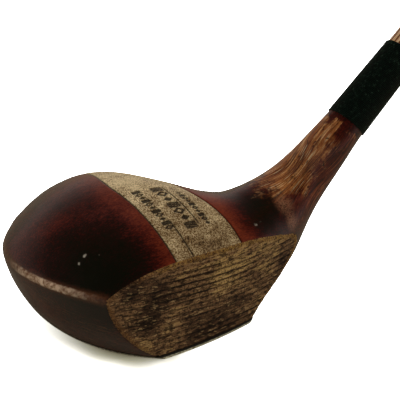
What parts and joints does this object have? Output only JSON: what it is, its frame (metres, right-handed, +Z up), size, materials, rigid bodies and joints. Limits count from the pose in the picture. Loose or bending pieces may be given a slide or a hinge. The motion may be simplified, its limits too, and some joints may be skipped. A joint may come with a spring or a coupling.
{
  "type": "golf driver",
  "caption": "Wooden golf driver: rounded wooden head with a flat grooved face, bound neck, long tapered wooden shaft and spiral leather grip.",
  "frame": {"origin": "middle of the sole plate's flat underside, with the club soled at address", "axes": "+X from the toe to the heel, +Y from the face to the back, +Z up from the ground; the shaft rises over +X at the lie angle"},
  "size_m": [0.7528, 0.0745, 0.8573],
  "materials": {
    "stained_wood": "dark red-brown stain under worn varnish, bare worn wood on the face",
    "plate_brass": "tarnished, polished by wear on the edges",
    "screw_brass": "tarnished",
    "lead": "dull grey cast lead",
    "screw_steel": "dull",
    "shaft_wood": "oiled hickory with a straight open grain",
    "waxed_thread": "black waxed linen thread",
    "underlay_cloth": "coarse woven wool listing",
    "grip_hide": "dark brown calf, polished by handling",
    "tack_steel": "dull",
    "tack_brass": "tarnished"
  },
  "bodies": {
    "root": {"head_block": "stained_wood", "sole_plate": "plate_brass", "sole_screws": "screw_brass", "lead_slug": "lead", "slug_screw": "screw_steel", "shaft": "shaft_wood", "neck_whipping": "waxed_thread", "grip_underlay": "underlay_cloth", "grip_leather": "grip_hide", "grip_low_binding": "waxed_thread", "grip_high_binding": "waxed_thread", "grip_tacks": "tack_steel", "butt_disc": "grip_hide", "butt_tack": "tack_brass"}
  },
  "joints": []
}
